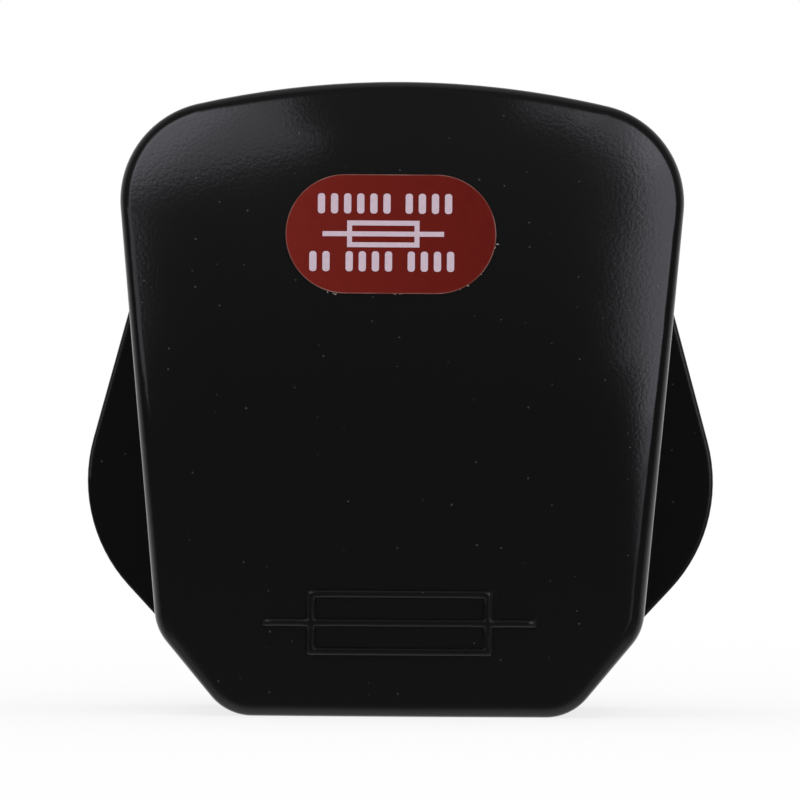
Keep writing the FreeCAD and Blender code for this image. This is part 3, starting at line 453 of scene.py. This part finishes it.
# Label print: two rows of plain strokes with the fuse sign between them, in pale ink pushed through a
# screen on to the red vinyl.
PRINT_X = LABEL_CENTRE.x - 0.65 * MM        # the print sits a little left on the sticker
PRINT_ROOT, PRINT_RISE = 0.02 * MM, 0.012 * MM
PRINT_WORDS = [                             # row's height on the sticker, place of the first stroke, strokes
    (2.6 * MM, -5.3 * MM, 6), (2.6 * MM, 2.2 * MM, 4),
    (-2.35 * MM, -6.0 * MM, 2), (-2.35 * MM, -2.9 * MM, 4), (-2.35 * MM, 2.4 * MM, 4),
]
STROKE_PITCH, STROKE_WIDTH, STROKE_HEIGHT = 1.12 * MM, 0.62 * MM, 1.72 * MM
STROKE_ROUND = 0.4                          # a stroke's corner radius, as a share of its width
PRINT_SIGN = (10.4 * MM, 6.2 * MM, 2.3 * MM, 0.44 * MM)     # its length, its box's two sizes, its stroke
LABEL_T = 0.12 * MM
INK_SIZE, INK_THICK, INK_THIN = 0.5 * MM, "#CBB9C3", "#BBA7B1"

ink, tree, shader, place = new_finish("pale_screen_ink")
# Dried ink is matt, and the screen lays it unevenly, so that the red shows through it here and there.
shader.inputs["Roughness"].default_value = 0.45
shader.inputs["Specular IOR Level"].default_value = 0.12
thin = add(tree, "ShaderNodeTexNoise", {"Vector": place, "Scale": 1 / INK_SIZE, "Detail": 4.0}).outputs["Fac"]
pale = add(tree, "ShaderNodeMix", {
    0: thin, 6: linear(INK_THICK), 7: linear(INK_THIN),
}, data_type="RGBA").outputs[2]
tree.links.new(pale, shader.inputs["Base Color"])

words = bpy.data.node_groups.new("print_strokes", "GeometryNodeTree")
for title, kind in (
    ("Strokes", "NodeSocketInt"), ("Start", "NodeSocketVector"), ("Pitch", "NodeSocketVector"),
    ("Stroke Size", "NodeSocketVector"), ("Ink", "NodeSocketMaterial"),
):
    words.interface.new_socket(title, in_out="INPUT", socket_type=kind)
words.interface.new_socket("Mesh", in_out="OUTPUT", socket_type="NodeSocketGeometry")
given = add(words, "NodeGroupInput").outputs
row = add(words, "GeometryNodeMeshLine", {
    "Count": given["Strokes"], "Start Location": given["Start"], "Offset": given["Pitch"],
}, mode="OFFSET").outputs["Mesh"]
width, thickness, height = add(words, "ShaderNodeSeparateXYZ", {0: given["Stroke Size"]}).outputs
outline = add(words, "GeometryNodeCurvePrimitiveQuadrilateral", {"Width": width, "Height": height}).outputs[0]
corner = add(words, "ShaderNodeMath", {0: width, 1: STROKE_ROUND}, operation="MULTIPLY").outputs[0]
outline = add(words, "GeometryNodeFilletCurve", {
    "Curve": outline, "Radius": corner, "Count": 4,
}, mode="POLY").outputs[0]
# The outline is filled and raised where it lies flat, and then stood up.
back = add(words, "GeometryNodeFillCurve", {0: outline}, mode="NGONS").outputs[0]
rise = add(words, "ShaderNodeCombineXYZ", {"Z": thickness}).outputs[0]
front = add(words, "GeometryNodeExtrudeMesh", {0: back, "Offset": rise, "Individual": False}).outputs[0]
turned = add(words, "GeometryNodeFlipFaces", {0: back}).outputs[0]
stroke = add(words, "GeometryNodeJoinGeometry", {0: front})
words.links.new(turned, stroke.inputs[0])
stroke = add(words, "GeometryNodeMergeByDistance", {0: stroke.outputs[0], "Distance": WELD}).outputs[0]
stroke = add(words, "GeometryNodeTransform", {"Geometry": stroke, "Rotation": (RIGHT_ANGLE, 0, 0)}).outputs[0]
strokes = add(words, "GeometryNodeInstanceOnPoints", {"Points": row, "Instance": stroke}).outputs[0]
strokes = add(words, "GeometryNodeRealizeInstances", {0: strokes}).outputs[0]
strokes = add(words, "GeometryNodeSetMaterial", {0: strokes, "Material": given["Ink"]}).outputs[0]
add(words, "NodeGroupOutput", {0: strokes})


def grown(group, values):
    """The plain mesh that a group of geometry nodes makes from these values."""
    holder = bpy.data.objects.new("holder", bpy.data.meshes.new("holder"))
    scene.collection.objects.link(holder)
    modifier = holder.modifiers.new("nodes", "NODES")
    modifier.node_group = group
    for item in group.interface.items_tree:
        if item.in_out == "INPUT" and item.name in values:
            modifier[item.identifier] = values[item.name]
    mesh = bpy.data.meshes.new_from_object(holder.evaluated_get(bpy.context.evaluated_depsgraph_get()))
    bpy.data.objects.remove(holder)
    return mesh


printed = fuse_sign(*PRINT_SIGN, PRINT_ROOT, PRINT_RISE, PRINT_RISE)
bmesh.ops.translate(printed, verts=printed.verts, vec=(PRINT_X, 0, LABEL_CENTRE.z))
for row_z, start, count in PRINT_WORDS:
    printed.from_mesh(grown(words, {
        "Strokes": count,
        "Start": (PRINT_X + start, PRINT_ROOT, LABEL_CENTRE.z + row_z),
        "Pitch": (STROKE_PITCH, 0, 0),
        "Stroke Size": (STROKE_WIDTH, PRINT_ROOT + PRINT_RISE, STROKE_HEIGHT),
        "Ink": ink,
    }))
for face in printed.faces:
    face.material_index = 0
for vert in printed.verts:
    vert.co.y += crown_y(vert.co.x, vert.co.z) - LABEL_T
print_mesh = bpy.data.meshes.new("label_print")
printed.to_mesh(print_mesh)
printed.free()
print_mesh.materials.append(ink)
label_print = bpy.data.objects.new("label_print", print_mesh)
scene.collection.objects.link(label_print)
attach(label_print, "root")


# Lint: short bent fibres of cotton that stick to the glue along the sticker's edge, most of them at its
# lower right, where it was handled.
LINT_COUNT, LINT_LENGTH, LINT_R, LINT_SEED = 170, 0.17 * MM, 0.028 * MM, 11
LINT_SPREAD = 0.1 * MM
LINT_SIDE = (0.3, 0, -1)                    # the direction in which most of it lies
LINT_NONE, LINT_ALL = 0.2, 1.35             # how far that way, in label heights, none stays and all stays
LINT_LEAST, LINT_MOST = 0.3, 1.2            # the smallest and the largest fibre, as shares of one
NEARLY_HALF = 0.499                         # a full half would leave no line between an end's two arcs
SOIL_SIZE, COTTON_CLEAN, COTTON_SOILED = 1.5 * MM, "#E4DED4", "#9C8E84"

lint, tree, shader, place = new_finish("cotton_lint")
# Cotton is dull and white, and here and there soiled.
shader.inputs["Roughness"].default_value = 0.9
soil = add(tree, "ShaderNodeTexNoise", {
    "Vector": place, "Scale": 1 / SOIL_SIZE, "Detail": 3.0,
}).outputs["Fac"]
cotton = add(tree, "ShaderNodeMix", {
    0: soil, 6: linear(COTTON_CLEAN), 7: linear(COTTON_SOILED),
}, data_type="RGBA").outputs[2]
tree.links.new(cotton, shader.inputs["Base Color"])

fibres = bpy.data.node_groups.new("edge_fibres", "GeometryNodeTree")
for title, kind in (
    ("Count", "NodeSocketInt"), ("Width", "NodeSocketFloat"), ("Height", "NodeSocketFloat"),
    ("Centre", "NodeSocketVector"), ("Length", "NodeSocketFloat"), ("Radius", "NodeSocketFloat"),
    ("Spread", "NodeSocketVector"), ("Seed", "NodeSocketInt"), ("Fibre", "NodeSocketMaterial"),
):
    fibres.interface.new_socket(title, in_out="INPUT", socket_type=kind)
fibres.interface.new_socket("Mesh", in_out="OUTPUT", socket_type="NodeSocketGeometry")
given = add(fibres, "NodeGroupInput").outputs
seed = given["Seed"]
oblong = add(fibres, "GeometryNodeCurvePrimitiveQuadrilateral", {
    "Width": given["Width"], "Height": given["Height"],
}).outputs[0]
end_r = add(fibres, "ShaderNodeMath", {0: given["Height"], 1: NEARLY_HALF}, operation="MULTIPLY").outputs[0]
oblong = add(fibres, "GeometryNodeFilletCurve", {
    "Curve": oblong, "Radius": end_r, "Count": 16,
}, mode="POLY").outputs[0]
oblong = add(fibres, "GeometryNodeTransform", {
    "Geometry": oblong, "Translation": given["Centre"], "Rotation": (RIGHT_ANGLE, 0, 0),
}).outputs[0]
spots = add(fibres, "GeometryNodeCurveToPoints", {
    "Curve": oblong, "Count": given["Count"],
}, mode="COUNT").outputs[0]
# Fewer of them stay the further a spot is from the lower right end. A Random Value node takes its least and
# its most at 0 and 1 for vectors, and at 2 and 3 for numbers, which it gives at 1.
spot = add(fibres, "GeometryNodeInputPosition").outputs[0]
spot = add(fibres, "ShaderNodeVectorMath", {0: spot, 1: given["Centre"]}, operation="SUBTRACT").outputs[0]
along = add(fibres, "ShaderNodeVectorMath", {0: spot, 1: LINT_SIDE}, operation="DOT_PRODUCT").outputs["Value"]
along = add(fibres, "ShaderNodeMath", {0: along, 1: given["Height"]}, operation="DIVIDE").outputs[0]
draw = add(fibres, "FunctionNodeRandomValue", {2: LINT_NONE, 3: LINT_ALL, "Seed": seed}).outputs[1]
bare = add(fibres, "FunctionNodeCompare", {0: draw, 1: along}, operation="GREATER_THAN").outputs[0]
spots = add(fibres, "GeometryNodeDeleteGeometry", {0: spots, 1: bare}).outputs[0]
against = add(fibres, "ShaderNodeVectorMath", {
    0: given["Spread"], 1: (-1, -1, -1),
}, operation="MULTIPLY").outputs[0]
stray = add(fibres, "FunctionNodeRandomValue", {
    0: against, 1: given["Spread"], "Seed": seed,
}, data_type="FLOAT_VECTOR").outputs[0]
spots = add(fibres, "GeometryNodeSetPosition", {0: spots, "Offset": stray}).outputs[0]
# One fibre is a short bent thread, and each is turned and sized by chance.
tip = add(fibres, "ShaderNodeCombineXYZ", {"X": given["Length"]}).outputs[0]
bend = add(fibres, "ShaderNodeCombineXYZ", {"X": given["Spread"], "Z": given["Length"]}).outputs[0]
thread = add(fibres, "GeometryNodeCurveQuadraticBezier", {
    "Resolution": 4, "Start": (0, 0, 0), "Middle": bend, "End": tip,
}).outputs[0]
around = add(fibres, "GeometryNodeCurvePrimitiveCircle", {
    "Resolution": 5, "Radius": given["Radius"],
}).outputs[0]
thread = add(fibres, "GeometryNodeCurveToMesh", {
    "Curve": thread, "Profile Curve": around, "Fill Caps": True,
}).outputs[0]
turn = add(fibres, "FunctionNodeRandomValue", {
    0: (0, -math.pi, 0), 1: (0, math.pi, 0), "Seed": seed,
}, data_type="FLOAT_VECTOR").outputs[0]
size = add(fibres, "FunctionNodeRandomValue", {2: LINT_LEAST, 3: LINT_MOST, "Seed": seed}).outputs[1]
threads = add(fibres, "GeometryNodeInstanceOnPoints", {
    "Points": spots, "Instance": thread, "Rotation": turn, "Scale": size,
}).outputs[0]
threads = add(fibres, "GeometryNodeRealizeInstances", {0: threads}).outputs[0]
threads = add(fibres, "GeometryNodeSetMaterial", {0: threads, "Material": given["Fibre"]}).outputs[0]
add(fibres, "NodeGroupOutput", {0: threads})

lint_mesh = grown(fibres, {
    "Count": LINT_COUNT, "Width": LABEL_WIDTH, "Height": LABEL_HEIGHT,
    "Centre": (LABEL_CENTRE.x, 0, LABEL_CENTRE.z), "Length": LINT_LENGTH, "Radius": LINT_R,
    "Spread": (LINT_SPREAD, LINT_R, LINT_SPREAD), "Seed": LINT_SEED, "Fibre": lint,
})
for vert in lint_mesh.vertices:
    vert.co.y += crown_y(vert.co.x, vert.co.z) - LINT_R
lint_mesh.name = "label_edge_lint"
label_lint = bpy.data.objects.new("label_edge_lint", lint_mesh)
scene.collection.objects.link(label_lint)
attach(label_lint, "root")


# Pins and terminals: brass bar, drawn, cut, bevelled and drilled, and the insert turned from the same bar.
# The pins' feet lie in nests of the base.
DRAWN_ACROSS, DRAWN_ALONG, DRAWN_DEPTH = 0.12 * MM, 9 * MM, 0.004 * MM
PATINA_SIZE, BRASS_BRIGHT, BRASS_DULL = 4 * MM, "#D9B56A", "#B98F45"
BRASS_SMOOTH, BRASS_ROUGH = 0.2, 0.42       # roughness on and between the drawn lines

brass, tree, shader, place = new_finish("drawn_brass")
shader.inputs["Metallic"].default_value = 1.0
# Drawing leaves fine lines along the bar, drawn coarser than they are so that they show.
drawn = add(tree, "ShaderNodeMapping", {
    "Vector": place, "Scale": (1 / DRAWN_ACROSS, 1 / DRAWN_ALONG, 1 / DRAWN_ACROSS),
}).outputs[0]
lines = add(tree, "ShaderNodeTexNoise", {"Vector": drawn, "Scale": 1.0, "Detail": 3.0}).outputs["Fac"]
worn = add(tree, "ShaderNodeMapRange", {
    "Value": lines, "To Min": BRASS_SMOOTH, "To Max": BRASS_ROUGH,
}).outputs[0]
tree.links.new(worn, shader.inputs["Roughness"])
scored = add(tree, "ShaderNodeBump", {"Height": lines, "Distance": DRAWN_DEPTH, "Strength": 1.0}).outputs[0]
tree.links.new(scored, shader.inputs["Normal"])
# Air tarnishes it in clouds.
patina = add(tree, "ShaderNodeTexNoise", {
    "Vector": place, "Scale": 1 / PATINA_SIZE, "Detail": 4.0,
}).outputs["Fac"]
metal = add(tree, "ShaderNodeMix", {
    0: patina, 6: linear(BRASS_BRIGHT), 7: linear(BRASS_DULL),
}, data_type="RGBA").outputs[2]
tree.links.new(metal, shader.inputs["Base Color"])
for node in ("earth_pin", "neutral_pin", "line_pin", "line_terminal", "cover_insert"):
    dress(node, brass)


# Pin sleeves: black nylon that insulates the upper half of both live pins. It is moulded straight on to
# them, round a neck in the brass.
SPARK_SIZE, SPARK_DEPTH = 0.15 * MM, 0.01 * MM
SCUFF_SIZE, NYLON_BLACK, NYLON_SCUFFED = 2 * MM, "#151515", "#232322"

nylon, tree, shader, place = new_finish("moulded_black_nylon")
# A spark-eroded mould gives it a satin skin, which sockets scuff grey.
shader.inputs["Roughness"].default_value = 0.42
shader.inputs["IOR"].default_value = 1.53
spark = add(tree, "ShaderNodeTexNoise", {
    "Vector": place, "Scale": 1 / SPARK_SIZE, "Detail": 2.0,
}).outputs["Fac"]
satin = add(tree, "ShaderNodeBump", {"Height": spark, "Distance": SPARK_DEPTH, "Strength": 1.0}).outputs[0]
tree.links.new(satin, shader.inputs["Normal"])
scuff = add(tree, "ShaderNodeTexNoise", {
    "Vector": place, "Scale": 1 / SCUFF_SIZE, "Detail": 5.0,
}).outputs["Fac"]
black = add(tree, "ShaderNodeMix", {
    0: scuff, 6: linear(NYLON_BLACK), 7: linear(NYLON_SCUFFED),
}, data_type="RGBA").outputs[2]
tree.links.new(black, shader.inputs["Base Color"])
for node in ("neutral_pin_sleeve", "line_pin_sleeve"):
    dress(node, nylon)


# Screws: slotted cheese heads turned from steel and plated with zinc. Three hold wires, two hold the flex
# clamp and one holds the cover.
SPANGLE_SIZE, ZINC_PALE, ZINC_GREY = 0.7 * MM, "#B9BCBE", "#8F9496"
ZINC_SMOOTH, ZINC_ROUGH = 0.22, 0.45

zinc, tree, shader, place = new_finish("zinc_plated_steel")
# Plating in a barrel leaves a pale bluish satin, duller in small patches.
shader.inputs["Metallic"].default_value = 1.0
spangle = add(tree, "ShaderNodeTexNoise", {
    "Vector": place, "Scale": 1 / SPANGLE_SIZE, "Detail": 4.0,
}).outputs["Fac"]
plate = add(tree, "ShaderNodeMix", {
    0: spangle, 6: linear(ZINC_PALE), 7: linear(ZINC_GREY),
}, data_type="RGBA").outputs[2]
tree.links.new(plate, shader.inputs["Base Color"])
tumbled = add(tree, "ShaderNodeMapRange", {
    "Value": spangle, "To Min": ZINC_SMOOTH, "To Max": ZINC_ROUGH,
}).outputs[0]
tree.links.new(tumbled, shader.inputs["Roughness"])
for node in nodes:
    if "screw" in node and node != "cover_screw_washer":
        dress(node, zinc)


# Screw washer: a disc punched from red vulcanised fibre sheet. It grips the cover screw's shank and keeps
# it from falling out.
FELT_SIZE, FIBRE_RED, FIBRE_DARK = 0.25 * MM, "#9A3A2C", "#74241B"

fibre, tree, shader, place = new_finish("red_vulcanised_fibre")
# Pressed paper is dull and finely felted.
shader.inputs["Roughness"].default_value = 0.7
felt = add(tree, "ShaderNodeTexNoise", {
    "Vector": place, "Scale": 1 / FELT_SIZE, "Detail": 5.0,
}).outputs["Fac"]
felted = add(tree, "ShaderNodeMix", {
    0: felt, 6: linear(FIBRE_RED), 7: linear(FIBRE_DARK),
}, data_type="RGBA").outputs[2]
tree.links.new(felted, shader.inputs["Base Color"])
dress("cover_screw_washer", fibre)


# Fuse clips: springy phosphor bronze strip, blanked and bent to grip the fuse's caps. One is riveted to the
# line pin's foot, the other to the line terminal's.
ROLLED_ALONG, ROLLED_ACROSS = 3 * MM, 0.1 * MM
BRONZE_PALE, BRONZE_DARK = "#D59A6C", "#B4784C"

bronze, tree, shader, place = new_finish("pressed_phosphor_bronze")
# Rolling leaves it smooth, with faint streaks along the strip.
shader.inputs["Metallic"].default_value = 1.0
shader.inputs["Roughness"].default_value = 0.3
rolled = add(tree, "ShaderNodeMapping", {
    "Vector": place, "Scale": (1 / ROLLED_ALONG, 1 / ROLLED_ALONG, 1 / ROLLED_ACROSS),
}).outputs[0]
streaks = add(tree, "ShaderNodeTexNoise", {"Vector": rolled, "Scale": 1.0, "Detail": 3.0}).outputs["Fac"]
strip = add(tree, "ShaderNodeMix", {
    0: streaks, 6: linear(BRONZE_PALE), 7: linear(BRONZE_DARK),
}, data_type="RGBA").outputs[2]
tree.links.new(strip, shader.inputs["Base Color"])
for node in ("line_fuse_clip", "load_fuse_clip"):
    dress(node, bronze)


# Fuse: a fired ceramic tube with a tinned wire through it, closed by two pressed brass caps with nickel
# plating. It is pushed into its clips and can be changed.
BISCUIT_SIZE, CERAMIC_WHITE, CERAMIC_CREAM = 0.4 * MM, "#EDE8DC", "#DDD6C8"
HANDLED_SIZE, NICKEL_PALE, NICKEL_DARK = 1.2 * MM, "#CFCAC0", "#B5AFA3"
NICKEL_SMOOTH, NICKEL_ROUGH = 0.12, 0.34

ceramic, tree, shader, place = new_finish("fired_ceramic")
# Without a glaze it is matt and creamy, with a fine cloud.
shader.inputs["Roughness"].default_value = 0.55
biscuit = add(tree, "ShaderNodeTexNoise", {
    "Vector": place, "Scale": 1 / BISCUIT_SIZE, "Detail": 4.0,
}).outputs["Fac"]
fired = add(tree, "ShaderNodeMix", {
    0: biscuit, 6: linear(CERAMIC_WHITE), 7: linear(CERAMIC_CREAM),
}, data_type="RGBA").outputs[2]
tree.links.new(fired, shader.inputs["Base Color"])
dress("fuse_tube", ceramic)

nickel, tree, shader, place = new_finish("nickel_plated_brass")
# Plated over polished brass, it is bright and slightly yellow, and dulled where it was handled.
shader.inputs["Metallic"].default_value = 1.0
handled = add(tree, "ShaderNodeTexNoise", {
    "Vector": place, "Scale": 1 / HANDLED_SIZE, "Detail": 4.0,
}).outputs["Fac"]
dulled = add(tree, "ShaderNodeMapRange", {
    "Value": handled, "To Min": NICKEL_SMOOTH, "To Max": NICKEL_ROUGH,
}).outputs[0]
tree.links.new(dulled, shader.inputs["Roughness"])
plated = add(tree, "ShaderNodeMix", {
    0: handled, 6: linear(NICKEL_PALE), 7: linear(NICKEL_DARK),
}, data_type="RGBA").outputs[2]
tree.links.new(plated, shader.inputs["Base Color"])
for node in ("fuse_line_cap", "fuse_load_cap", "fuse_element"):
    dress(node, nickel)


# Flex clamp: a bar of natural nylon, moulded with an arch over the flex. Two screws draw it down on to the
# base's pillars.
CLOUD_SIZE, NYLON_CREAM, NYLON_SAND = 2.5 * MM, "#DED7C3", "#CBC2AB"

natural_nylon, tree, shader, place = new_finish("moulded_natural_nylon")
# Without a dye it is milky, satin and a little cloudy.
shader.inputs["Roughness"].default_value = 0.45
shader.inputs["IOR"].default_value = 1.53
cloud = add(tree, "ShaderNodeTexNoise", {
    "Vector": place, "Scale": 1 / CLOUD_SIZE, "Detail": 3.0,
}).outputs["Fac"]
milky = add(tree, "ShaderNodeMix", {
    0: cloud, 6: linear(NYLON_CREAM), 7: linear(NYLON_SAND),
}, data_type="RGBA").outputs[2]
tree.links.new(milky, shader.inputs["Base Color"])
dress("flex_clamp", natural_nylon)
